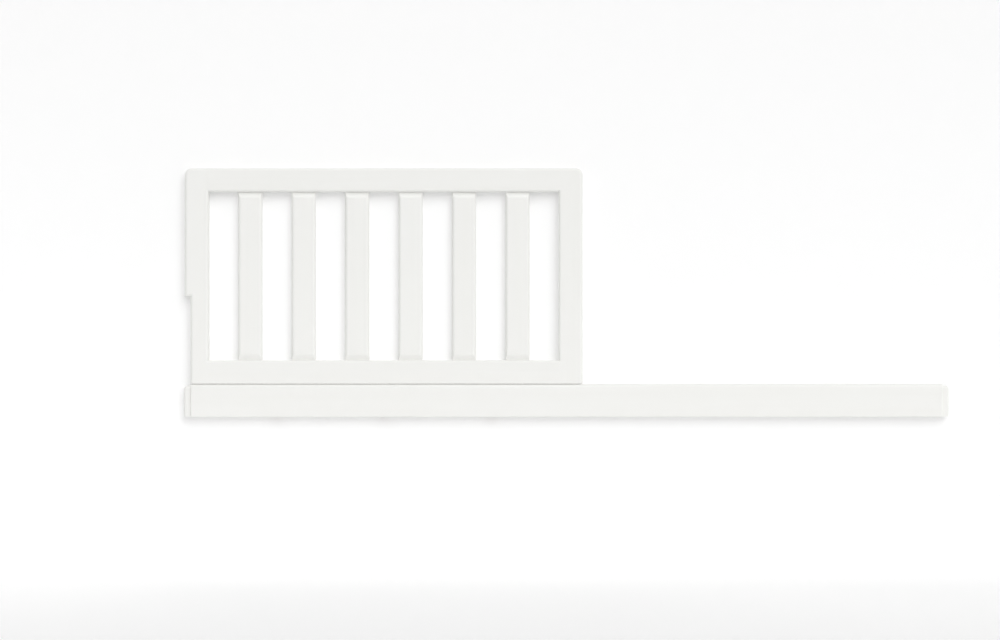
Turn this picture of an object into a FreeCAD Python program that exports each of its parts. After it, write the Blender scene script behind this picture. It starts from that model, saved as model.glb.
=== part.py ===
# A toddler rail kit: a full-length low rail that bolts between the two front posts of a crib,
# and a slatted guard that stands on the left half of it. Millimetres, +Z up. +X runs along the
# rail towards its open end, -Y is the face towards the room, and the origin is at the middle of
# the underside. The guard is a frame of four boards, dowelled at its corners, glued up and then
# rounded over as one, so its boards are cut out of one rounded blank here as well.
import FreeCAD, Part
import Sketcher
import os

doc = FreeCAD.newDocument("toddler_rail_kit")

# ---------------------------------------------------------------- driving sizes
SIZES = [
    # the low rail
    ("overall_length", 1330),       # from one tongue's end to the other's
    ("rail_height", 57),
    ("rail_thickness", 22),
    ("rail_top_ease", 6),           # radius along its top edges
    ("rail_end_ease", 2),           # radius around its end faces
    ("rail_foot_ease", 1),          # radius around its underside
    ("tongue_length", 12),
    ("tongue_height", 54),
    ("tongue_thickness", 12),
    ("tongue_corner", 6),           # lead-in radius at the tongue's upper corner
    ("tongue_nose", 4),             # radius along the edges of its front and back faces
    # the guard's frame
    ("guard_setback", 2),           # from the rail's left tongue end to the guard's left edge
    ("guard_width", 691),
    ("guard_height", 375),
    ("guard_thickness", 22),
    ("stile_width", 41),
    ("top_rail_height", 41),
    ("bottom_rail_height", 41),
    ("relief_depth", 10),           # step in the left stile that clears the crib post's ledge
    ("relief_height", 152),
    ("corner_radius", 12),
    ("outer_ease", 5),
    ("window_ease", 4),
    ("seam_ease", 2.5),             # along the guard's foot, where it stands on the rail
    # slats
    ("slat_count", 6),
    ("slat_width", 42),
    ("slat_thickness", 12),
    ("slat_ease", 5.5),
    ("slat_taper", 10),             # length over which each end thins to its tenon
    ("tenon_length", 10),
    ("tenon_thickness", 6),
    ("tenon_shoulder", 4),          # from the slat's edge to its tenon's edge
    # dowels
    ("dowel_radius", 4),
    ("corner_dowel_length", 40),
    ("corner_dowel_spacing", 18),
    ("seat_dowel_length", 30),        # between the rail and the guard
    ("dowel_chamfer", 1),
    # screws: a plain cylinder at the nominal radius stands for each thread
    ("thread_radius", 3),
    ("bolt_length", 75),            # under the head
    ("bolt_head_radius", 5),
    ("bolt_head_height", 6),
    ("bolt_tip_chamfer", 1),
    ("socket_across_flats", 5),
    ("socket_depth", 3),
    ("washer_radius", 6),
    ("washer_thickness", 1.6),
    ("spring_washer_radius", 5.5),
    ("spring_washer_gap", 2),
    ("nut_radius", 5),
    ("nut_length", 14),
    ("nut_slot_width", 1.2),
    ("nut_slot_depth", 1.5),
    ("nut_chamfer", 0.4),
    # where the screws are
    ("counterbore_radius", 7),
    ("counterbore_depth", 14),
    ("guard_nut_height", 20),       # above the guard's foot
    ("post_nut_inset", 40),         # from the tongue's end
    ("stile_nut_inset", 22),        # from the left stile's edge
    ("stile_nut_drop", 110),        # below the guard's top
    ("bolt_runout", 7),             # bore left free beyond a barrel nut for a bolt's tip
    ("drill_point", 118),           # degrees across the point that a drill leaves in wood
    # clearances
    ("glue_clearance", 0.05),       # around dowels and tenons
    ("end_clearance", 1),           # beyond the ends of dowels and tenons
    ("thread_clearance", 0.05),     # between a bolt and the nut that it is in
    ("bolt_clearance", 0.2),        # around a bolt in its bore
    ("washer_clearance", 0.1),      # around a bolt in its washers
    ("nut_clearance", 0.05),        # around a barrel nut in its cross bore
    ("nut_end_clearance", 0.3),     # between a barrel nut and the floor of its cross bore
]
sizes = doc.addObject("Spreadsheet::Sheet", "sizes")
for row, (alias, number) in enumerate(SIZES, 1):
    sizes.set(f"A{row}", alias)
    sizes.set(f"B{row}", str(number))
    sizes.setAlias(f"B{row}", alias)
doc.recompute()

# Places that several pieces share, as expressions.
LEFT_END = "(-sizes.overall_length / 2)"
RIGHT_END = "(sizes.overall_length / 2)"
GUARD_LEFT = f"({LEFT_END} + sizes.guard_setback)"
WINDOW_LEFT = f"({GUARD_LEFT} + sizes.stile_width)"
WINDOW_WIDTH = "(sizes.guard_width - 2 * sizes.stile_width)"
WINDOW_RIGHT = f"({WINDOW_LEFT} + {WINDOW_WIDTH})"
WINDOW_FOOT = "(sizes.rail_height + sizes.bottom_rail_height)"
WINDOW_HEIGHT = "(sizes.guard_height - sizes.top_rail_height - sizes.bottom_rail_height)"
WINDOW_HEAD = f"({WINDOW_FOOT} + {WINDOW_HEIGHT})"
GUARD_TOP = "(sizes.rail_height + sizes.guard_height)"
SLAT_GAP = f"(({WINDOW_WIDTH} - sizes.slat_count * sizes.slat_width) / (sizes.slat_count + 1))"
SLAT_PITCH = f"({SLAT_GAP} + sizes.slat_width)"
FIRST_SLAT = f"({WINDOW_LEFT} + {SLAT_GAP} + sizes.slat_width / 2)"
RAIL_MIDDLE = "(sizes.rail_height / 2)"
GUARD_NUT_LEVEL = "(sizes.rail_height + sizes.guard_nut_height)"
STILE_NUT_LEVEL = f"({GUARD_TOP} - sizes.stile_nut_drop)"

SLAT_COUNT = int(sizes.slat_count)
GUARD_BOLTS = {"left": 2, "middle": SLAT_COUNT // 2 + 1, "right": SLAT_COUNT}   # gap numbers

UPRIGHT = FreeCAD.Rotation()
ALONG_X = FreeCAD.Rotation(FreeCAD.Vector(0, 1, 0), 90)
AGAINST_X = FreeCAD.Rotation(FreeCAD.Vector(0, 1, 0), -90)
ALONG_Y = FreeCAD.Rotation(FreeCAD.Vector(1, 0, 0), -90)
ALONG_Y_THREAD_UP = FreeCAD.Rotation(FreeCAD.Vector(1, 1, 1), 240)


# ---------------------------------------------------------------- helpers
def number(expression):
    """The value that an expression has now."""
    return float(sizes.evalExpression(expression))


def add(kind, name, **expressions):
    """A new object whose properties follow the sheet."""
    item = doc.addObject(kind, name)
    for key, expression in expressions.items():
        item.setExpression(key, expression)
    return item


def place(item, x="0", y="0", z="0", turn=UPRIGHT):
    """Put an object's own origin at x, y, z, turned as told."""
    item.Placement = FreeCAD.Placement(FreeCAD.Vector(), turn)
    for axis, expression in zip("xyz", (x, y, z)):
        item.setExpression(f"Placement.Base.{axis}", expression)
    return item


def origin_item(body, role):
    return next(item for item in body.Origin.OriginFeatures if item.Role == role)


def sketch_on(body, plane, name):
    sketch = body.newObject("Sketcher::SketchObject", name)
    sketch.AttachmentSupport = [(origin_item(body, plane), "")]
    sketch.MapMode = "FlatFace"
    return sketch


def constrain(sketch, kind, *where, value):
    """A dimension that follows an expression."""
    index = sketch.addConstraint(Sketcher.Constraint(kind, *where, number(value)))
    sketch.setExpression(f"Constraints[{index}]", value)


def draw_polygon(sketch, corners):
    """Closed straight outline; each corner is a pair of expressions from the origin."""
    points = [FreeCAD.Vector(number(x), number(y), 0) for x, y in corners]
    first = sketch.GeometryCount
    count = len(points)
    for index in range(count):
        sketch.addGeometry(Part.LineSegment(points[index], points[(index + 1) % count]))
    for index, (x, y) in enumerate(corners):
        line = first + index
        line_before = first + (index - 1) % count
        sketch.addConstraint(Sketcher.Constraint("Coincident", line_before, 2, line, 1))
        constrain(sketch, "DistanceX", -1, 1, line, 1, value=x)
        constrain(sketch, "DistanceY", -1, 1, line, 1, value=y)


def draw_slot(sketch, half_run, radius):
    """A slot about the origin, round at both ends, with its end centres half_run out along X."""
    run, end = number(half_run), number(radius)
    for side in (1, -1):
        middle = FreeCAD.Vector(side * run, 0, 0)
        start, stop = (-90, 90) if side > 0 else (90, 270)
        circle = Part.Circle(middle, FreeCAD.Vector(0, 0, 1), end)
        arc = Part.ArcOfCircle(circle, *(FreeCAD.Units.Quantity(f"{angle} deg").getValueAs("rad")
                                         for angle in (start, stop)))
        sketch.addGeometry(arc)
        sketch.addGeometry(Part.LineSegment(FreeCAD.Vector(side * run, side * end, 0),
                                            FreeCAD.Vector(-side * run, side * end, 0)))
    for piece in range(4):
        sketch.addConstraint(Sketcher.Constraint("Tangent", piece, 2, (piece + 1) % 4, 1))
    for arc, sign in ((0, ""), (2, "-")):
        constrain(sketch, "DistanceX", -1, 1, arc, 3, value=sign + half_run)
        constrain(sketch, "DistanceY", -1, 1, arc, 3, value="0")
        constrain(sketch, "Radius", arc, value=radius)


def pad(body, sketch, length, other_way=None):
    """Pad a sketch half each way, or length one way and other_way the other."""
    feature = body.newObject("PartDesign::Pad", sketch.Name + "_pad")
    feature.Profile = sketch
    feature.SideType = "Two sides" if other_way else "Symmetric"
    feature.setExpression("Length", length)
    if other_way:
        feature.setExpression("Length2", other_way)
    doc.recompute()
    return feature


def round_edges(body, radius, wanted):
    """Round the edges of the body so far whose box (from low to high corner) is wanted."""
    so_far = body.Tip
    names = [f"Edge{index}" for index, edge in enumerate(so_far.Shape.Edges, 1)
             if wanted(edge.BoundBox)]
    feature = body.newObject("PartDesign::Fillet", body.Name + "_round")
    feature.Base = (so_far, names)
    feature.setExpression("Radius", radius)
    doc.recompute()


def turned(name, profile):
    """A body turned about its Z axis from (radius, height) corners."""
    body = add("PartDesign::Body", name)
    sketch = sketch_on(body, "XZ_Plane", name + "_profile")
    draw_polygon(sketch, profile)
    feature = body.newObject("PartDesign::Revolution", name + "_turn")
    feature.Profile = sketch
    feature.ReferenceAxis = (sketch, ["V_Axis"])
    feature.Angle = 360
    doc.recompute()
    return body


def drill(name, radius, depth, x, y, z, turn=UPRIGHT):
    """The round space that a flat-ended drill leaves: it starts at x, y, z."""
    return place(add("Part::Cylinder", name, Radius=radius, Height=depth), x, y, z, turn)


def pointed_drill(name, radius, depth, x, y, z, turn=UPRIGHT):
    """The same for a twist drill, whose point goes beyond the full depth."""
    point = f"({radius}) / tan(sizes.drill_point / 2)"
    space = turned(name, [("0", "0"), (radius, "0"), (radius, depth), ("0", f"{depth} + {point}")])
    return place(space, x, y, z, turn)


def cut(label, solid, *tools):
    """A finished piece: a solid less its tools."""
    feature = add("Part::Cut", label)
    feature.Base = solid
    feature.Tool = tools[0]
    if len(tools) > 1:
        feature.Tool = add("Part::MultiFuse", label + "_tools")
        feature.Tool.Shapes = list(tools)
    return feature


NEAR = 1e-4         # two places closer than this are one


def near(one, other):
    return abs(one - other) < NEAR


pieces = []         # what is written out, one file each


# ---------------------------------------------------------------- slats
def slat_bar(name, clearance="0", end_clearance="0"):
    """The straight bar, round at both edges, whose ends are a slat's two tenons."""
    body = add("PartDesign::Body", name)
    sketch = sketch_on(body, "XY_Plane", name + "_section")
    thickness = f"(sizes.tenon_thickness / 2 + {clearance})"
    draw_slot(sketch, "(sizes.slat_width / 2 - sizes.tenon_shoulder - sizes.tenon_thickness / 2)",
              thickness)
    reach = f"sizes.tenon_length + {end_clearance}"
    return body, pad(body, sketch, f"{WINDOW_HEIGHT} + {reach}", reach)


def make_slat(index):
    """A flat slat with rounded edges, whose ends taper to a stub tenon."""
    name = f"slat_{index + 1}"
    blade = add("PartDesign::Body", name + "_blade")
    sketch = sketch_on(blade, "XY_Plane", name + "_blade_section")
    right, back = "sizes.slat_width / 2", "sizes.slat_thickness / 2"
    draw_polygon(sketch, [(f"-{right}", f"-{back}"), (right, f"-{back}"),
                          (right, back), (f"-{right}", back)])
    feature = blade.newObject("PartDesign::Pad", name + "_blade_pad")
    feature.Profile = sketch
    feature.setExpression("Length", WINDOW_HEIGHT)
    doc.recompute()
    round_edges(blade, "sizes.slat_ease", lambda box: near(box.XLength, 0) and near(box.YLength, 0))
    taper = sketch_on(blade, "YZ_Plane", name + "_taper")
    for side in ("", "-"):
        for end, level in (("0", "sizes.slat_taper"),
                           (WINDOW_HEIGHT, f"{WINDOW_HEIGHT} - sizes.slat_taper")):
            draw_polygon(taper, [(f"{side}sizes.tenon_thickness / 2", end),
                                 (f"{side}sizes.slat_thickness", end),
                                 (f"{side}sizes.slat_thickness", level), (f"{side}{back}", level)])
    feature = blade.newObject("PartDesign::Pocket", name + "_taper_cut")
    feature.Profile = taper
    feature.SideType = "Symmetric"
    feature.setExpression("Length", "2 * sizes.slat_width")
    doc.recompute()
    bar, _ = slat_bar(name + "_bar")
    slat = add("Part::Fuse", name)
    slat.Base, slat.Tool = blade, bar
    pieces.append(place(slat, f"{FIRST_SLAT} + {index} * {SLAT_PITCH}", "0", WINDOW_FOOT))


for slat_index in range(SLAT_COUNT):
    make_slat(slat_index)

# One row of bars with glue clearance cuts the mortises of both rails at once.
mortises, first_mortise = slat_bar("mortises", "sizes.glue_clearance", "sizes.end_clearance")
mortise_row = mortises.newObject("PartDesign::LinearPattern", "mortise_row")
mortise_row.Originals = [first_mortise]
mortise_row.Direction = (origin_item(mortises, "X_Axis"), [""])
mortise_row.Mode = "Spacing"
mortise_row.setExpression("Offset", SLAT_PITCH)
mortise_row.setExpression("Occurrences", "sizes.slat_count")
mortises.Tip = mortise_row
place(mortises, FIRST_SLAT, "0", WINDOW_FOOT)


# ---------------------------------------------------------------- dowels
def dowel_pair(label, length, centres, turn):
    """Two fluteless beech dowels, and the holes they are glued into."""
    radius, end, chamfer = "sizes.dowel_radius", f"{length} / 2", "sizes.dowel_chamfer"
    profile = [("0", f"-{end}"), (f"{radius} - {chamfer}", f"-{end}"),
               (radius, f"-{end} + {chamfer}"), (radius, f"{end} - {chamfer}"),
               (f"{radius} - {chamfer}", end), ("0", end)]
    group = add("Part::Compound", label)
    group.Links = [place(turned(f"{label}_{index}", profile), *centre, turn)
                   for index, centre in enumerate(centres, 1)]
    pieces.append(group)
    back = f"({length} / 2 + sizes.end_clearance)"
    holes = []
    for index, (x, y, z) in enumerate(centres, 1):
        start = (f"{x} - {back}", y, z) if turn == ALONG_X else (x, y, f"{z} - {back}")
        holes.append(drill(f"{label}_hole_{index}", f"{radius} + sizes.glue_clearance",
                           f"{length} + 2 * sizes.end_clearance", *start, turn))
    return holes


def corner_dowels(label, side, board_middle):
    """The two dowels of a corner, one above the other, across the joint at x = side."""
    offset = "sizes.corner_dowel_spacing / 2"
    return dowel_pair(label, "sizes.corner_dowel_length",
                      [(side, "0", f"{board_middle} - {offset}"),
                       (side, "0", f"{board_middle} + {offset}")], ALONG_X)


TOP_RAIL_MIDDLE = f"({GUARD_TOP} - sizes.top_rail_height / 2)"
BOTTOM_RAIL_MIDDLE = "(sizes.rail_height + sizes.bottom_rail_height / 2)"
LAST_SLAT = f"({FIRST_SLAT} + (sizes.slat_count - 1) * {SLAT_PITCH})"
holes_top_left = corner_dowels("corner_dowels_top_left", WINDOW_LEFT, TOP_RAIL_MIDDLE)
holes_top_right = corner_dowels("corner_dowels_top_right", WINDOW_RIGHT, TOP_RAIL_MIDDLE)
holes_foot_left = corner_dowels("corner_dowels_bottom_left", WINDOW_LEFT, BOTTOM_RAIL_MIDDLE)
holes_foot_right = corner_dowels("corner_dowels_bottom_right", WINDOW_RIGHT, BOTTOM_RAIL_MIDDLE)
# Two upright dowels keep the guard in line on the rail, under its end slats.
seat_holes = dowel_pair("seat_dowels", "sizes.seat_dowel_length",
                        [(FIRST_SLAT, "0", "sizes.rail_height"),
                         (LAST_SLAT, "0", "sizes.rail_height")], UPRIGHT)


# ---------------------------------------------------------------- barrel nuts
def barrel_nut(label, x, z, thickness, turn):
    """A steel cross dowel with a threaded hole across it and a slot to turn it by.

    It lies along Y with its thread at mid thickness. Returns the hole bored for it from the back.
    """
    radius, half, chamfer = "sizes.nut_radius", "sizes.nut_length / 2", "sizes.nut_chamfer"
    barrel = turned(label + "_barrel", [
        ("0", f"-{half}"), (f"{radius} - {chamfer}", f"-{half}"), (radius, f"-{half} + {chamfer}"),
        (radius, f"{half} - {chamfer}"), (f"{radius} - {chamfer}", half), ("0", half)])
    thread = drill(label + "_thread", "sizes.thread_radius", f"2 * {radius}",
                   f"-{radius}", "0", "0", ALONG_X)
    slot = add("Part::Box", label + "_slot", Length=f"2 * {radius}", Width="sizes.nut_slot_width",
               Height="sizes.nut_slot_depth")
    place(slot, f"-{radius}", "-sizes.nut_slot_width / 2", f"{half} - sizes.nut_slot_depth")
    pieces.append(place(cut(label, barrel, thread, slot), x, "0", z, turn))
    floor = f"({half} + sizes.nut_end_clearance)"
    return drill(label + "_bore", f"{radius} + sizes.nut_clearance", f"{floor} + {thickness} / 2",
                 x, f"-{floor}", z, ALONG_Y)


left_rail_nut_bore = barrel_nut("left_rail_nut", f"{LEFT_END} + sizes.post_nut_inset",
                                RAIL_MIDDLE, "sizes.rail_thickness", ALONG_Y)
right_rail_nut_bore = barrel_nut("right_rail_nut", f"{RIGHT_END} - sizes.post_nut_inset",
                                 RAIL_MIDDLE, "sizes.rail_thickness", ALONG_Y)
stile_nut_bore = barrel_nut("stile_nut", f"{GUARD_LEFT} + sizes.stile_nut_inset",
                            STILE_NUT_LEVEL, "sizes.guard_thickness", ALONG_Y)

# The bores that lead the crib's own bolts to the post nuts.
BOLT_BORE = "sizes.thread_radius + sizes.bolt_clearance"
PAST_NUT = "sizes.nut_radius + sizes.bolt_runout"
END_BORE_DEPTH = f"(sizes.post_nut_inset + {PAST_NUT})"
left_end_bore = pointed_drill("left_end_bore", BOLT_BORE, END_BORE_DEPTH,
                              LEFT_END, "0", RAIL_MIDDLE, ALONG_X)
right_end_bore = pointed_drill("right_end_bore", BOLT_BORE, END_BORE_DEPTH,
                               RIGHT_END, "0", RAIL_MIDDLE, AGAINST_X)
stile_bore = pointed_drill("stile_bore", BOLT_BORE, f"sizes.stile_nut_inset + {PAST_NUT}",
                           GUARD_LEFT, "0", STILE_NUT_LEVEL, ALONG_X)


# ---------------------------------------------------------------- guard bolts
def washer(label, radius):
    hole = "sizes.thread_radius + sizes.washer_clearance"
    return turned(label, [(hole, "0"), (radius, "0"),
                          (radius, "sizes.washer_thickness"), (hole, "sizes.washer_thickness")])


def guard_bolt(side, gap):
    """A socket head bolt up through the rail, with its washers and the nut it pulls on.

    It stands below the middle of a gap between slats. Returns its bores.
    """
    x = f"({WINDOW_LEFT} + {gap} * {SLAT_PITCH} - sizes.slat_width - {SLAT_GAP} / 2)"
    shank = "(sizes.thread_radius - sizes.thread_clearance)"
    head, chamfer = "sizes.bolt_head_radius", "sizes.bolt_tip_chamfer"
    name = f"guard_bolt_{side}"
    blank = turned(name + "_blank", [
        ("0", "-sizes.bolt_head_height"), (head, "-sizes.bolt_head_height"), (head, "0"),
        (shank, "0"), (shank, f"sizes.bolt_length - {chamfer}"),
        (f"{shank} - {chamfer}", "sizes.bolt_length"), ("0", "sizes.bolt_length")])
    socket = add("Part::Prism", name + "_socket", Height="sizes.socket_depth",
                 Circumradius="sizes.socket_across_flats / sqrt(3)")
    place(socket, z="-sizes.bolt_head_height")
    spring_level = "sizes.counterbore_depth - 2 * sizes.washer_thickness"
    pieces.append(place(cut(name, blank, socket), x, "0", spring_level))

    ring = washer(f"guard_spring_washer_{side}_ring", "sizes.spring_washer_radius")
    split = add("Part::Box", f"guard_spring_washer_{side}_split", Length="sizes.spring_washer_gap",
                Width="sizes.spring_washer_radius", Height="sizes.washer_thickness")
    place(split, "-sizes.spring_washer_gap / 2")
    pieces.append(place(cut(f"guard_spring_washer_{side}", ring, split), x, "0", spring_level))
    pieces.append(place(washer(f"guard_flat_washer_{side}", "sizes.washer_radius"),
                        x, "0", "sizes.counterbore_depth - sizes.washer_thickness"))

    nut_bore = barrel_nut(f"guard_nut_{side}", x, GUARD_NUT_LEVEL, "sizes.guard_thickness",
                          ALONG_Y_THREAD_UP)
    tip = f"{spring_level} + sizes.bolt_length"
    counterbore = drill(name + "_counterbore", "sizes.counterbore_radius",
                        "sizes.counterbore_depth", x, "0", "0")
    bore = pointed_drill(name + "_bore", BOLT_BORE, f"{tip} + sizes.end_clearance", x, "0", "0")
    return nut_bore, bore, counterbore


bolt_bores = [guard_bolt(side, gap) for side, gap in GUARD_BOLTS.items()]
guard_bolt_bores = [tool for nut_bore, bore, counterbore in bolt_bores for tool in (nut_bore, bore)]
rail_bolt_bores = [tool for nut_bore, bore, counterbore in bolt_bores
                   for tool in (bore, counterbore)]

# ---------------------------------------------------------------- the low rail
rail = add("PartDesign::Body", "rail")
rail_outline = sketch_on(rail, "XZ_Plane", "rail_outline")
RAIL_FACE_END = "(sizes.overall_length - sizes.tongue_length)"
draw_polygon(rail_outline, [
    ("sizes.tongue_length", "0"), (RAIL_FACE_END, "0"),
    (RAIL_FACE_END, "sizes.rail_height"), ("sizes.tongue_length", "sizes.rail_height")])
pad(rail, rail_outline, "sizes.rail_thickness")
rail_top = number("sizes.rail_height")
round_edges(rail, "sizes.rail_top_ease",
            lambda box: near(box.ZMin, rail_top) and near(box.YLength, 0))
round_edges(rail, "sizes.rail_end_ease",
            lambda box: near(box.XLength, 0) and not near(box.ZMax, 0))
round_edges(rail, "sizes.rail_foot_ease", lambda box: near(box.ZMax, 0))
# The tongues at both ends are one long bar through the rail.
tongue_outline = sketch_on(rail, "XZ_Plane", "tongue_outline")
draw_polygon(tongue_outline, [
    ("0", "0"), ("sizes.overall_length", "0"),
    ("sizes.overall_length", "sizes.tongue_height"), ("0", "sizes.tongue_height")])
pad(rail, tongue_outline, "sizes.tongue_thickness")
tongue_top, rail_end = number("sizes.tongue_height"), number("sizes.overall_length")
round_edges(rail, "sizes.tongue_corner",
            lambda box: near(box.ZMin, tongue_top) and near(box.ZMax, tongue_top)
            and (near(box.XMax, 0) or near(box.XMin, rail_end)))
shoulders = number("sizes.tongue_length"), number(RAIL_FACE_END)


def on_tongue_face(box):
    """An edge of a tongue's front or back face, but not its foot or where it meets the rail."""
    middle = box.Center.x
    beyond = middle < shoulders[0] or middle > shoulders[1]
    at_shoulder = near(middle, shoulders[0]) or near(middle, shoulders[1])
    return near(box.YLength, 0) and beyond and not at_shoulder and not near(box.ZMax, 0)


round_edges(rail, "sizes.tongue_nose", on_tongue_face)
place(rail, LEFT_END)
pieces.append(cut("long_rail", rail, *rail_bolt_bores, *seat_holes, left_rail_nut_bore,
                  right_rail_nut_bore, left_end_bore, right_end_bore))

# ---------------------------------------------------------------- the guard's frame
frame = add("PartDesign::Body", "frame")
frame_outline = sketch_on(frame, "XZ_Plane", "frame_outline")
draw_polygon(frame_outline, [
    ("sizes.relief_depth", "0"), ("sizes.guard_width", "0"),
    ("sizes.guard_width", "sizes.guard_height"), ("0", "sizes.guard_height"),
    ("0", "sizes.relief_height"), ("sizes.relief_depth", "sizes.relief_height")])
WINDOW_TOP = f"(sizes.bottom_rail_height + {WINDOW_HEIGHT})"
draw_polygon(frame_outline, [
    ("sizes.stile_width", "sizes.bottom_rail_height"),
    (f"sizes.stile_width + {WINDOW_WIDTH}", "sizes.bottom_rail_height"),
    (f"sizes.stile_width + {WINDOW_WIDTH}", WINDOW_TOP), ("sizes.stile_width", WINDOW_TOP)])
pad(frame, frame_outline, "sizes.guard_thickness")

guard_top = number("sizes.guard_height")
half_window = number(WINDOW_WIDTH) / 2
window_middle = number("sizes.guard_width") / 2
window_levels = number("sizes.bottom_rail_height"), number(WINDOW_TOP)


def on_a_face(box):
    """Along the front or back face, not through the thickness."""
    return near(box.YLength, 0)


def around_window(box):
    """One of the window's four sides, or a corner between them."""
    reach = max(abs(box.XMin - window_middle), abs(box.XMax - window_middle))
    within = box.ZMin > window_levels[0] - NEAR and box.ZMax < window_levels[1] + NEAR
    return reach < half_window + NEAR and within


round_edges(frame, "sizes.corner_radius",
            lambda box: near(box.ZMin, guard_top) and near(box.XLength, 0))
round_edges(frame, "sizes.outer_ease",
            lambda box: on_a_face(box) and not around_window(box) and not near(box.ZMax, 0))
round_edges(frame, "sizes.window_ease", lambda box: on_a_face(box) and around_window(box))
round_edges(frame, "sizes.seam_ease", lambda box: on_a_face(box) and near(box.ZMax, 0))
place(frame, GUARD_LEFT, "0", "sizes.rail_height")


def frame_board(label, x, z, width, height, tools):
    """One board: what the frame has inside this stretch of it, less its holes."""
    stretch = add("Part::Box", label + "_stretch", Length=width, Width="2 * sizes.guard_thickness",
                  Height=height)
    board = add("Part::Common", label + "_blank")
    board.Base = frame
    board.Tool = place(stretch, x, "-sizes.guard_thickness", z)
    pieces.append(cut(label, board, *tools))


frame_board("left_stile", GUARD_LEFT, "sizes.rail_height", "sizes.stile_width",
            "sizes.guard_height", holes_top_left + holes_foot_left + [stile_bore, stile_nut_bore])
frame_board("right_stile", WINDOW_RIGHT, "sizes.rail_height", "sizes.stile_width",
            "sizes.guard_height", holes_top_right + holes_foot_right)
frame_board("guard_top_rail", WINDOW_LEFT, WINDOW_HEAD, WINDOW_WIDTH,
            "sizes.top_rail_height", holes_top_left + holes_top_right + [mortises])
frame_board("guard_bottom_rail", WINDOW_LEFT, "sizes.rail_height", WINDOW_WIDTH,
            "sizes.bottom_rail_height",
            holes_foot_left + holes_foot_right + seat_holes + guard_bolt_bores + [mortises])

# ---------------------------------------------------------------- check and write
doc.recompute()
failed = [item.Name for item in doc.Objects if {"Invalid", "Error"} & set(item.State)]
failed += [item.Label for item in pieces if item.Shape.isNull() or not item.Shape.isValid()]
if failed:
    raise RuntimeError(f"not built: {failed}")
os.makedirs("parts", exist_ok=True)
for item in pieces:
    item.Shape.exportStep(f"parts/{item.Label}.step")
    print(f"{item.Label}: {len(item.Shape.Solids)} solid(s), {item.Shape.Volume:.0f} mm3")
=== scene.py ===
# %% [markdown]
# # A white rail kit that turns a crib into a toddler bed
# The object is a slatted guard standing on a long low rail. Its boards, slats, dowels and
# screws come from the CAD model at their real size and place, in metres: +X runs along the
# rail, -Y faces the room and +Z is up.

# %% Load the model
import math

import bmesh
import bpy
from mathutils import Matrix, Vector


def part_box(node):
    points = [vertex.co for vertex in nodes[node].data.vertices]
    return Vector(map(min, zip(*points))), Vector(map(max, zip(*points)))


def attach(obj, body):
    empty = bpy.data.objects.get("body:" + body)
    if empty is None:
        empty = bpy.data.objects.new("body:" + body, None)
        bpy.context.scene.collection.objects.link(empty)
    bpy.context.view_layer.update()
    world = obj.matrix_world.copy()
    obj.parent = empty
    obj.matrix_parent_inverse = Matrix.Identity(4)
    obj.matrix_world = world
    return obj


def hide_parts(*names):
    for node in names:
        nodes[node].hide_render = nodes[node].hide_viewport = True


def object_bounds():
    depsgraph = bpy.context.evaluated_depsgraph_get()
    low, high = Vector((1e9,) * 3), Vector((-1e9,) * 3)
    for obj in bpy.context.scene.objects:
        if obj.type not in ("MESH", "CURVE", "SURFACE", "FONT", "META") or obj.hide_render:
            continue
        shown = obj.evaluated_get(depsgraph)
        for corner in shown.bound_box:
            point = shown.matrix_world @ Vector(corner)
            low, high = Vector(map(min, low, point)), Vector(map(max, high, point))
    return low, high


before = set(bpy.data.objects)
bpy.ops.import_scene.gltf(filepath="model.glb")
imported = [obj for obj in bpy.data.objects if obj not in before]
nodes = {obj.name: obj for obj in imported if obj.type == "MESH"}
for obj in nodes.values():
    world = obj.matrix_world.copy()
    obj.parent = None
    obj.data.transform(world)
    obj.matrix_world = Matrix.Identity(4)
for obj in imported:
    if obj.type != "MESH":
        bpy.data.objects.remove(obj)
cad_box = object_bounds()
print("loaded", len(nodes), "nodes; box", [round(side, 4) for side in cad_box[1] - cad_box[0]])

# %% [markdown]
# ## Sizes read from the model
# Everything that is added below has to sit on the real boards, so its place is worked out from
# their boxes. Only what the boxes can't tell, such as a drill's radius, is written as a number.

# %% Where the boards and holes are
MM = 0.001
COUNTERBORE_RADIUS = 7 * MM
CROSS_BORE_RADIUS = 5.05 * MM
POST_BORE_RADIUS = 3.2 * MM
POST_BORE_RUN = 14 * MM          # from a post nut's axis to the blind end of its bolt's bore

SLATS = sorted((name for name in nodes if name.startswith("slat_")),
               key=lambda name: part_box(name)[0].x)
LYING_BOARDS = ["long_rail", "guard_top_rail", "guard_bottom_rail"]
STANDING_BOARDS = ["left_stile", "right_stile"] + SLATS
GUARD_NUTS = ["guard_nut_left", "guard_nut_middle", "guard_nut_right"]
POST_NUTS = ["left_rail_nut", "right_rail_nut", "stile_nut"]
BOLTS = ["guard_bolt_left", "guard_bolt_middle", "guard_bolt_right"]


def middle(name):
    low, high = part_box(name)
    return (low + high) / 2


window_low = Vector((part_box("left_stile")[1].x, 0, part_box("guard_bottom_rail")[1].z))
window_high = Vector((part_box("right_stile")[0].x, 0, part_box("guard_top_rail")[0].z))
print("window", [round(side * 1000) for side in window_high - window_low], "mm;",
      len(SLATS), "slats")

# %% [markdown]
# ## White lacquer
# Nursery furniture is sprayed with several coats of satin white lacquer over fine-grained wood.
# From across a room it is one colour, but close to it has three things that flat paint lacks: a
# faint orange peel from the spray, the ghost of the grain along each board, and slightly uneven
# gloss. All three are noise on Object coordinates, stretched along the board for the grain.

# %% A small kit for building node trees


def new_material(name):
    material = bpy.data.materials.new(name)
    material.use_nodes = True
    tree = material.node_tree
    return material, tree, tree.nodes["Principled BSDF"]


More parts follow.
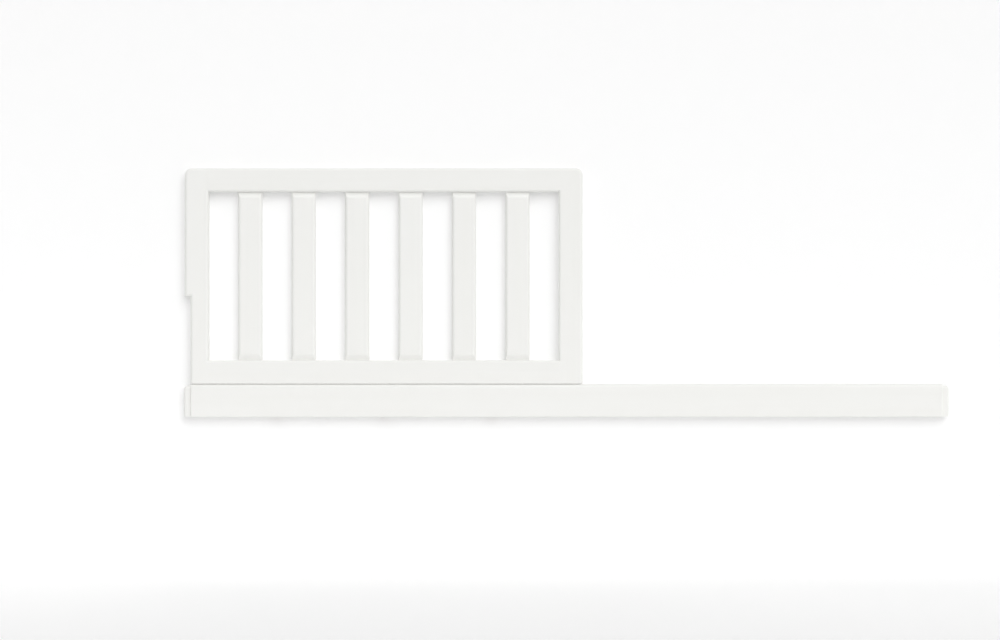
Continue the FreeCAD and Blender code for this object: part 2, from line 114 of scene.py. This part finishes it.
def add_node(tree, kind, inputs=None, **settings):
    """A node with its settings, and inputs given as values or as other nodes' sockets."""
    node = tree.nodes.new(kind)
    for key, value in settings.items():
        setattr(node, key, value)
    for key, value in (inputs or {}).items():
        if isinstance(value, bpy.types.NodeSocket):
            tree.links.new(value, node.inputs[key])
        else:
            node.inputs[key].default_value = value
    return node


def math_node(tree, operation, *values):
    return add_node(tree, "ShaderNodeMath", dict(enumerate(values)), operation=operation).outputs[0]


def mix_colour(tree, factor, one, other):
    node = add_node(tree, "ShaderNodeMix", data_type="RGBA")
    for index, value in ((0, factor), (6, one), (7, other)):
        if isinstance(value, bpy.types.NodeSocket):
            tree.links.new(value, node.inputs[index])
        else:
            node.inputs[index].default_value = value
    return node.outputs[2]


def ramp(tree, value, low, high, to_low=0.0, to_high=1.0):
    return add_node(tree, "ShaderNodeMapRange", {0: value, 1: low, 2: high, 3: to_low, 4: to_high},
                    interpolation_type="SMOOTHSTEP").outputs[0]


print("node kit ready")

# %% [markdown]
# Inside a drilled hole there is no lacquer: a sprayer's mist hardly reaches it, and the last
# holes are drilled after the spraying. A mask in the shader finds the points that lie within a
# hole's radius of its axis and gives them bare wood, with no cut in the mesh.

# %% Bare wood inside the drilled holes
AXES = {"X": 0, "Y": 1, "Z": 2}


def bored_mask(tree, place, holes):
    """1 inside any of the holes, each (axis letter, point on the axis, radius, from, to)."""
    found = None
    for axis, centre, radius, start, stop in holes:
        flat = Vector([0 if index == AXES[axis] else 1 for index in range(3)])
        offset = add_node(tree, "ShaderNodeVectorMath", {0: place, 1: centre},
                          operation="SUBTRACT").outputs[0]
        across = add_node(tree, "ShaderNodeVectorMath", {0: offset, 1: flat},
                          operation="MULTIPLY").outputs[0]
        reach = add_node(tree, "ShaderNodeVectorMath", {0: across}, operation="LENGTH").outputs[1]
        inside = math_node(tree, "LESS_THAN", reach, radius + 0.1 * MM)
        along = add_node(tree, "ShaderNodeSeparateXYZ", {0: place}).outputs[AXES[axis]]
        after = math_node(tree, "GREATER_THAN", along, start)
        before = math_node(tree, "LESS_THAN", along, stop)
        here = math_node(tree, "MULTIPLY", inside, math_node(tree, "MULTIPLY", after, before))
        found = here if found is None else math_node(tree, "MAXIMUM", found, here)
    return found


def cross_bore(nut, board):
    """The hole that a barrel nut lies in: open at the back, shut at the front."""
    low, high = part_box(board)
    return ("Y", middle(nut), CROSS_BORE_RADIUS, low.y + 1 * MM, high.y + 1 * MM)


def post_bore(nut, side):
    """The blind hole that leads a post's bolt to its nut, from the left (-1) or the right (1)."""
    centre = middle(nut)
    ends = sorted((centre.x - side * POST_BORE_RUN, centre.x + side))
    return ("X", centre, POST_BORE_RADIUS, *ends)


rail_low, rail_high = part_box("long_rail")
HOLES = {
    "long_rail": [cross_bore("left_rail_nut", "long_rail"),
                  cross_bore("right_rail_nut", "long_rail"),
                  post_bore("left_rail_nut", -1), post_bore("right_rail_nut", 1)]
    + [("Z", middle(bolt), COUNTERBORE_RADIUS, -1 * MM, rail_high.z - 1 * MM) for bolt in BOLTS],
    "guard_bottom_rail": [cross_bore(nut, "guard_bottom_rail") for nut in GUARD_NUTS],
    "left_stile": [cross_bore("stile_nut", "left_stile"), post_bore("stile_nut", -1)],
}
print({board: len(holes) for board, holes in HOLES.items()}, "holes")

# %% [markdown]
# The lacquer itself. Its colour stays close to one warm white. The relief does the work: it is
# only hundredths of a millimetre deep, so it shows as a soft break-up of the highlights.

# %% Lacquer for one board
LACQUER_WHITE = (0.885, 0.885, 0.862, 1)
LACQUER_SHADE = (0.865, 0.864, 0.836, 1)
BARE_LIGHT = (0.66, 0.47, 0.29, 1)
BARE_DARK = (0.47, 0.3, 0.16, 1)
ALONG = {"X": (0.03, 1, 1), "Z": (1, 1, 0.03)}      # squeezes noise into streaks along a board


def lacquered(name, grain, holes=()):
    material, tree, shader = new_material(name)
    place = add_node(tree, "ShaderNodeTexCoord").outputs["Object"]
    streaked = add_node(tree, "ShaderNodeMapping", {"Vector": place, "Scale": ALONG[grain]})
    fibres = add_node(tree, "ShaderNodeTexNoise", {"Vector": streaked.outputs[0], "Scale": 420,
                                                   "Detail": 5, "Roughness": 0.62}).outputs[0]
    figure = add_node(tree, "ShaderNodeTexNoise", {"Vector": streaked.outputs[0], "Scale": 55,
                                                   "Detail": 2, "Distortion": 0.6}).outputs[0]
    peel = add_node(tree, "ShaderNodeTexNoise", {"Vector": place, "Scale": 330,
                                                 "Detail": 1.5}).outputs[0]
    cloud = add_node(tree, "ShaderNodeTexNoise", {"Vector": place, "Scale": 9,
                                                  "Detail": 2}).outputs[0]
    ghost = math_node(tree, "MULTIPLY_ADD", ramp(tree, figure, 0.3, 0.7), 0.45,
                      math_node(tree, "MULTIPLY", ramp(tree, cloud, 0.3, 0.7), 0.35))
    colour = mix_colour(tree, ghost, LACQUER_WHITE, LACQUER_SHADE)
    gloss = ramp(tree, cloud, 0.25, 0.75, 0.36, 0.44)
    if holes:
        bare = bored_mask(tree, place, holes)
        wood = mix_colour(tree, fibres, BARE_LIGHT, BARE_DARK)
        colour = mix_colour(tree, bare, colour, wood)
        gloss = math_node(tree, "MAXIMUM", gloss, math_node(tree, "MULTIPLY", bare, 0.8))
    tree.links.new(colour, shader.inputs["Base Color"])
    tree.links.new(gloss, shader.inputs["Roughness"])
    relief = math_node(tree, "MULTIPLY_ADD", fibres, 0.5, peel)
    bump = add_node(tree, "ShaderNodeBump", {"Height": relief, "Strength": 0.35,
                                             "Distance": 0.03 * MM})
    tree.links.new(bump.outputs[0], shader.inputs["Normal"])
    return material


def dress(node, material):
    """Give a CAD node its finish. Its mesh and place stay as they are."""
    slots = nodes[node].material_slots
    for slot in slots:
        slot.material = material
    if not slots:
        nodes[node].data.materials.append(material)


plain = {"X": lacquered("lacquer_lying", "X"), "Z": lacquered("lacquer_standing", "Z")}
for board in LYING_BOARDS + STANDING_BOARDS:
    grain = "X" if board in LYING_BOARDS else "Z"
    holes = HOLES.get(board)
    dress(board, lacquered(f"lacquer_{board}", grain, holes) if holes else plain[grain])
print("lacquered", len(LYING_BOARDS + STANDING_BOARDS), "boards")

# %% [markdown]
# ## Dowels and steel
# The dowels are hidden, but they are bare beech all the same. The screws, washers and barrel
# nuts are zinc plated: a bright bluish metal with a cloudy, slightly rough surface.

# %% Beech and zinc


def bare_beech():
    material, tree, shader = new_material("bare_beech")
    place = add_node(tree, "ShaderNodeTexCoord").outputs["Object"]
    flecks = add_node(tree, "ShaderNodeTexNoise", {"Vector": place, "Scale": 900, "Detail": 3})
    colour = mix_colour(tree, ramp(tree, flecks.outputs[0], 0.35, 0.65), BARE_LIGHT, BARE_DARK)
    tree.links.new(colour, shader.inputs["Base Color"])
    shader.inputs["Roughness"].default_value = 0.7
    return material


def zinc_plate():
    material, tree, shader = new_material("zinc_plate")
    place = add_node(tree, "ShaderNodeTexCoord").outputs["Object"]
    cloud = add_node(tree, "ShaderNodeTexNoise", {"Vector": place, "Scale": 260, "Detail": 4})
    shader.inputs["Metallic"].default_value = 1
    colour = mix_colour(tree, cloud.outputs[0], (0.62, 0.64, 0.66, 1), (0.8, 0.81, 0.82, 1))
    tree.links.new(colour, shader.inputs["Base Color"])
    tree.links.new(ramp(tree, cloud.outputs[0], 0.3, 0.7, 0.24, 0.42), shader.inputs["Roughness"])
    bump = add_node(tree, "ShaderNodeBump", {"Height": cloud.outputs[0], "Strength": 0.2,
                                             "Distance": 0.02 * MM})
    tree.links.new(bump.outputs[0], shader.inputs["Normal"])
    return material


beech, zinc = bare_beech(), zinc_plate()
for name in nodes:
    if "dowels" in name:
        dress(name, beech)
    elif name.split("_")[-1] == "nut" or "_nut_" in name or "washer" in name or "bolt" in name:
        dress(name, zinc)
print("hardware finished")

# %% [markdown]
# ## Screws that repeat
# The three bolts under the rail are socket head screws. Their heads are knurled so that fingers
# can start them, rounded at the rim, and pierced by a hex socket, and their tips carry a real
# helical thread. One Geometry Nodes tree makes a screw from its sizes and sets it at equal steps
# along the rail. Ridges and thread are both one idea: take a plain cylinder with enough rings,
# and scale each point towards the axis by a wave of its angle and its height.

# %% A small kit for geometry trees


def start_tree(name, inputs):
    """A tree with named inputs. Returns it, its input sockets and their identifiers."""
    tree = bpy.data.node_groups.new(name, "GeometryNodeTree")
    tree.interface.new_socket("Geometry", in_out="OUTPUT", socket_type="NodeSocketGeometry")
    keys = {label: tree.interface.new_socket(label, in_out="INPUT", socket_type=kind).identifier
            for label, kind in inputs.items()}
    return tree, tree.nodes.new("NodeGroupInput").outputs, keys


def end_tree(tree, shape, points, material):
    """Put the shape on every point, make it real geometry and give it its finish."""
    placed = add_node(tree, "GeometryNodeInstanceOnPoints", {"Points": points, "Instance": shape})
    real = add_node(tree, "GeometryNodeRealizeInstances", {0: placed.outputs[0]})
    done = add_node(tree, "GeometryNodeSetMaterial", {0: real.outputs[0]})
    done.inputs["Material"].default_value = material
    out = tree.nodes.new("NodeGroupOutput")
    tree.links.new(done.outputs[0], out.inputs[0])


def grow(name, tree, keys, values):
    """Run a tree with these values and keep the result as one plain mesh."""
    thing = bpy.data.objects.new(name, bpy.data.meshes.new(name + "_seed"))
    bpy.context.scene.collection.objects.link(thing)
    modifier = thing.modifiers.new(name, "NODES")
    modifier.node_group = tree
    for label, value in values.items():
        modifier[keys[label]] = value
    evaluated = thing.evaluated_get(bpy.context.evaluated_depsgraph_get())
    mesh = bpy.data.meshes.new_from_object(evaluated)
    thing.modifiers.remove(modifier)
    thing.data = mesh
    mesh.name = name
    print(name, len(mesh.vertices), "points,", len(mesh.polygons), "faces")
    return thing


def scaled_ring(tree, shape, scale):
    """Scale each point's distance from the Z axis."""
    place = tree.nodes.new("GeometryNodeInputPosition").outputs[0]
    x, y, z = add_node(tree, "ShaderNodeSeparateXYZ", {0: place}).outputs
    moved = add_node(tree, "ShaderNodeCombineXYZ", {0: math_node(tree, "MULTIPLY", x, scale),
                                                    1: math_node(tree, "MULTIPLY", y, scale), 2: z})
    return add_node(tree, "GeometryNodeSetPosition",
                    {0: shape, "Position": moved.outputs[0]}).outputs[0]


def angle_and_height(tree):
    place = tree.nodes.new("GeometryNodeInputPosition").outputs[0]
    x, y, z = add_node(tree, "ShaderNodeSeparateXYZ", {0: place}).outputs
    return math_node(tree, "ARCTAN2", y, x), z


print("geometry kit ready")

# %% The screw tree
RIDGES = 36
POINTS_PER_RIDGE = 4
HEAD_RINGS = 10
THREAD_PITCH = 1 * MM
RINGS_PER_TURN = 8
SHANK_POINTS = 24


def screw_tree(steel, threaded):
    """threaded is how far the thread runs back from the tip."""
    tree, given, keys = start_tree("socket_screw", {
        "Head radius": "NodeSocketFloat", "Head height": "NodeSocketFloat",
        "Shank radius": "NodeSocketFloat", "Length": "NodeSocketFloat",
        "Socket width": "NodeSocketFloat", "Socket depth": "NodeSocketFloat",
        "Knurl depth": "NodeSocketFloat", "Thread depth": "NodeSocketFloat",
        "First place": "NodeSocketVector", "Step": "NodeSocketVector", "Count": "NodeSocketInt"})
    half_head = math_node(tree, "MULTIPLY", given["Head height"], 0.5)
    head = add_node(tree, "GeometryNodeMeshCylinder", {
        "Vertices": RIDGES * POINTS_PER_RIDGE, "Side Segments": HEAD_RINGS,
        "Radius": given["Head radius"], "Depth": given["Head height"]}).outputs["Mesh"]
    angle, height = angle_and_height(tree)
    wave = math_node(tree, "COSINE", math_node(tree, "MULTIPLY", angle, RIDGES))
    edge = math_node(tree, "SUBTRACT", 1, math_node(
        tree, "DIVIDE", math_node(tree, "ABSOLUTE", height), half_head))
    knurled = math_node(tree, "MULTIPLY", ramp(tree, edge, 0.1, 0.35),
                        math_node(tree, "MULTIPLY_ADD", wave, -0.5, 0.5))
    low = math_node(tree, "ADD", height, half_head)
    rim = math_node(tree, "MULTIPLY", ramp(tree, low, 0, 0.8 * MM, 1, 0), 0.09)
    cut_in = math_node(tree, "MULTIPLY", knurled,
                       math_node(tree, "DIVIDE", given["Knurl depth"], given["Head radius"]))
    scale = math_node(tree, "SUBTRACT", math_node(tree, "SUBTRACT", 1, cut_in), rim)
    head = scaled_ring(tree, head, scale)
    hexagon = add_node(tree, "GeometryNodeMeshCylinder", {
        "Vertices": 6, "Radius": math_node(tree, "DIVIDE", given["Socket width"], math.sqrt(3)),
        "Depth": math_node(tree, "MULTIPLY", given["Socket depth"], 2)}).outputs["Mesh"]
    down = math_node(tree, "MULTIPLY", half_head, -1)
    hexagon = add_node(tree, "GeometryNodeTransform", {0: hexagon, "Translation": add_node(
        tree, "ShaderNodeCombineXYZ", {2: down}).outputs[0]}).outputs[0]
    pierced = add_node(tree, "GeometryNodeMeshBoolean", operation="DIFFERENCE")
    tree.links.new(head, pierced.inputs[0])
    tree.links.new(hexagon, pierced.inputs[1])
    head = add_node(tree, "GeometryNodeTransform", {0: pierced.outputs[0], "Translation": add_node(
        tree, "ShaderNodeCombineXYZ", {2: down}).outputs[0]}).outputs[0]

    rings = math_node(tree, "DIVIDE", given["Length"], THREAD_PITCH / RINGS_PER_TURN)
    shank = add_node(tree, "GeometryNodeMeshCylinder", {
        "Vertices": SHANK_POINTS, "Side Segments": rings,
        "Radius": given["Shank radius"], "Depth": given["Length"]}).outputs["Mesh"]
    angle, height = angle_and_height(tree)
    turn = math_node(tree, "DIVIDE", angle, 2 * math.pi)
    phase = math_node(tree, "SUBTRACT", math_node(tree, "DIVIDE", height, THREAD_PITCH), turn)
    groove = math_node(tree, "MULTIPLY", math_node(tree, "PINGPONG", phase, 0.5), 2)
    half = math_node(tree, "MULTIPLY", given["Length"], 0.5)
    from_tip = math_node(tree, "SUBTRACT", half, height)
    groove = math_node(tree, "MULTIPLY", groove,
                       ramp(tree, from_tip, threaded - THREAD_PITCH, threaded, 1, 0))
    tip = math_node(tree, "MULTIPLY", ramp(tree, from_tip, 0, 1 * MM, 1, 0), 0.3)
    cut_in = math_node(tree, "MULTIPLY", groove,
                       math_node(tree, "DIVIDE", given["Thread depth"], given["Shank radius"]))
    scale = math_node(tree, "SUBTRACT", 1, math_node(tree, "MAXIMUM", cut_in, tip))
    shank = scaled_ring(tree, shank, scale)
    shank = add_node(tree, "GeometryNodeTransform", {0: shank, "Translation": add_node(
        tree, "ShaderNodeCombineXYZ", {2: half}).outputs[0]}).outputs[0]

    whole = tree.nodes.new("GeometryNodeJoinGeometry")
    tree.links.new(shank, whole.inputs[0])
    tree.links.new(head, whole.inputs[0])
    row = add_node(tree, "GeometryNodeMeshLine", {
        "Count": given["Count"], "Start Location": given["First place"], "Offset": given["Step"]},
        mode="OFFSET").outputs[0]
    end_tree(tree, whole.outputs[0], row, steel)
    return tree, keys


HEAD_HEIGHT = 6 * MM
bolt_low, bolt_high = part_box(BOLTS[0])
first = middle(BOLTS[0])
tree, keys = screw_tree(zinc, 24 * MM)
bolts = grow("guard_bolts", tree, keys, {
    "Head radius": (bolt_high.x - bolt_low.x) / 2, "Head height": HEAD_HEIGHT,
    "Shank radius": 2.95 * MM, "Length": bolt_high.z - bolt_low.z - HEAD_HEIGHT,
    "Socket width": 5 * MM, "Socket depth": 3 * MM,
    "Knurl depth": 0.25 * MM, "Thread depth": 0.45 * MM,
    "First place": (first.x, first.y, bolt_low.z + HEAD_HEIGHT),
    "Step": ((middle(BOLTS[-1]).x - first.x) / (len(BOLTS) - 1), 0, 0), "Count": len(BOLTS)})
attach(bolts, "kit")
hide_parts(*BOLTS)

# %% [markdown]
# Where a slat's end goes into a rail, the spray leaves a fine bead of lacquer in the corner. It
# follows the outline of the slat's end, so it is a curve swept along that outline, set twice in
# each slat's place: once at its foot and once at its head.

# %% Beads of lacquer at the slats' ends
BEAD_RADIUS = 0.5 * MM


def bead_tree(lacquer):
    tree, given, keys = start_tree("lacquer_beads", {
        "Width": "NodeSocketFloat", "Thickness": "NodeSocketFloat", "Bead": "NodeSocketFloat",
        "First place": "NodeSocketVector", "Step": "NodeSocketVector", "Count": "NodeSocketInt",
        "Rise": "NodeSocketVector"})
    outline = add_node(tree, "GeometryNodeCurvePrimitiveQuadrilateral", {
        "Width": given["Width"], "Height": given["Thickness"]}).outputs[0]
    corner = math_node(tree, "MULTIPLY", given["Thickness"], 0.45)
    rounded = add_node(tree, "GeometryNodeFilletCurve", {
        0: outline, "Radius": corner, "Count": 5}, mode="POLY").outputs[0]
    section = add_node(tree, "GeometryNodeCurvePrimitiveCircle", {
        "Resolution": 8, "Radius": given["Bead"]}).outputs[0]
    bead = add_node(tree, "GeometryNodeCurveToMesh", {0: rounded, 1: section}).outputs[0]
    feet = add_node(tree, "GeometryNodeMeshLine", {
        "Count": given["Count"], "Start Location": given["First place"], "Offset": given["Step"]},
        mode="OFFSET").outputs[0]
    heads = add_node(tree, "GeometryNodeTransform",
                     {0: feet, "Translation": given["Rise"]}).outputs[0]
    both = tree.nodes.new("GeometryNodeJoinGeometry")
    tree.links.new(feet, both.inputs[0])
    tree.links.new(heads, both.inputs[0])
    smooth = add_node(tree, "GeometryNodeSetShadeSmooth", {0: bead}).outputs[0]
    end_tree(tree, smooth, both.outputs[0], lacquer)
    return tree, keys


TENON_THICKNESS = 6 * MM
SLAT_ROUNDING = 0.1 * MM         # how much narrower a slat is where its edge turns to its tenon
first = middle(SLATS[0])
slat_low, slat_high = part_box(SLATS[0])
tree, keys = bead_tree(plain["Z"])
beads = grow("lacquer_beads", tree, keys, {
    "Width": slat_high.x - slat_low.x - 2 * SLAT_ROUNDING, "Thickness": TENON_THICKNESS,
    "Bead": BEAD_RADIUS, "First place": (first.x, first.y, window_low.z),
    "Step": ((middle(SLATS[-1]).x - first.x) / (len(SLATS) - 1), 0, 0), "Count": len(SLATS),
    "Rise": (0, 0, window_high.z - window_low.z)})
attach(beads, "kit")

# %% [markdown]
# ## A white table to lie on
# A catalogue picture of such a kit is taken with it lying on its back on a white table, seen
# from straight above. It takes the soft shadows that show how thick the boards are. A floor lies
# lower down, where the floor of a bedroom would be, and is clear from below in the same way.

# %% Table, floor and world
TABLE_HALF_WIDTH = 3.0
TABLE_HEIGHT = 2.6
FLOOR_DROP = 0.25                # a bed's low rail is this far above the floor
TABLE_WHITE = (0.93, 0.93, 0.93, 1)
GLOW = 0.09                      # lifts the table to plain white where no shadow falls on it


def white_sheet(name, corners):
    mesh = bpy.data.meshes.new(name)
    mesh.from_pydata(corners, [], [(0, 1, 2, 3)])
    table = bpy.data.objects.new(name, mesh)
    bpy.context.scene.collection.objects.link(table)
    material, tree, shader = new_material(name + "_white")
    tree.nodes.remove(shader)
    path = add_node(tree, "ShaderNodeLightPath").outputs
    seen = math_node(tree, "MAXIMUM", path["Is Camera Ray"],
                     math_node(tree, "MAXIMUM", path["Is Glossy Ray"], path["Is Transmission Ray"]))
    matt = add_node(tree, "ShaderNodeBsdfDiffuse", {"Color": TABLE_WHITE}).outputs[0]
    glow = add_node(tree, "ShaderNodeEmission",
                    {"Strength": math_node(tree, "MULTIPLY", seen, GLOW)}).outputs[0]
    surface = add_node(tree, "ShaderNodeAddShader", {0: matt, 1: glow}).outputs[0]
    behind = add_node(tree, "ShaderNodeNewGeometry").outputs["Backfacing"]
    clear = math_node(tree, "MAXIMUM", behind, path["Is Shadow Ray"])
    surface = add_node(tree, "ShaderNodeMixShader", {
        0: clear, 1: surface,
        2: add_node(tree, "ShaderNodeBsdfTransparent").outputs[0]}).outputs[0]
    tree.links.new(surface, tree.nodes["Material Output"].inputs["Surface"])
    mesh.materials.append(material)
    return table


kit_low, kit_high = cad_box
table_y = kit_high.y + 0.3 * MM
floor_z = kit_low.z - FLOOR_DROP
half = TABLE_HALF_WIDTH
white_sheet("table", [(-half, table_y, floor_z), (half, table_y, floor_z),
                      (half, table_y, TABLE_HEIGHT), (-half, table_y, TABLE_HEIGHT)])
white_sheet("floor", [(-half, -half, floor_z), (half, -half, floor_z),
                      (half, half, floor_z), (-half, half, floor_z)])

WORLD_LEVEL = 0.49
world = bpy.data.worlds.new("white_room")
world.use_nodes = True
bpy.context.scene.world = world
path = add_node(world.node_tree, "ShaderNodeLightPath").outputs
seen = math_node(world.node_tree, "MAXIMUM", path["Is Camera Ray"],
                 math_node(world.node_tree, "MAXIMUM", path["Is Glossy Ray"],
                           path["Is Transmission Ray"]))
level = ramp(world.node_tree, seen, 0, 1, WORLD_LEVEL, 1.0)
world.node_tree.links.new(level, world.node_tree.nodes["Background"].inputs["Strength"])
world.node_tree.nodes["Background"].inputs["Color"].default_value = (1, 1, 1, 1)
print("table at y", round(table_y, 4), "floor at z", round(floor_z, 3))

# %% [markdown]
# ## Lamps
# One large soft lamp stands high on the right, in front. It gives each board a soft shadow to
# its left and below it. It is a sun with a very wide face, because an area lamp near enough to
# be that soft would leave the far end of such a long rail darker. A weak area lamp behind is for
# the views from the mattress side.

# %% Soft lamps
KEY_STRENGTH = 1.38
KEY_WIDTH = 50                   # degrees across its face
BACK_WATTS = 26


def add_lamp(name, kind, strength, place, aim):
    lamp = bpy.data.lights.new(name, kind)
    lamp.energy = strength
    thing = bpy.data.objects.new(name, lamp)
    bpy.context.scene.collection.objects.link(thing)
    thing.location = place
    thing.rotation_euler = (aim - place).to_track_quat("-Z", "Y").to_euler()
    return lamp


aim = (kit_low + kit_high) / 2
key_lamp = add_lamp("key_lamp", "SUN", KEY_STRENGTH, aim + Vector((1.9, -5.1, 3.4)), aim)
key_lamp.angle = math.radians(KEY_WIDTH)
back_lamp = add_lamp("back_lamp", "AREA", BACK_WATTS, aim + Vector((-0.6, 2.6, 1.0)), aim)
back_lamp.shape = "DISK"
back_lamp.size = 1.6
print("lamps ready")

# %% [markdown]
# ## Camera
# The camera looks straight at the front with a long lens, so that upright boards stay upright.

# %% Camera
PICTURE_SPAN = 1.7363
CAMERA_DISTANCE = 4.1
CAMERA_LEFT = 0.1155
CAMERA_DOWN = 0.0479

camera_data = bpy.data.cameras.new("camera")
camera_data.sensor_width = 36
camera_data.lens = camera_data.sensor_width * CAMERA_DISTANCE / PICTURE_SPAN
camera = bpy.data.objects.new("camera", camera_data)
bpy.context.scene.collection.objects.link(camera)
camera.location = (aim.x - CAMERA_LEFT, kit_low.y - CAMERA_DISTANCE, aim.z - CAMERA_DOWN)
camera.rotation_euler = (math.radians(90), 0, 0)
bpy.context.scene.camera = camera
bpy.context.scene.view_settings.view_transform = "Standard"
print("camera", [round(value, 3) for value in camera.location])
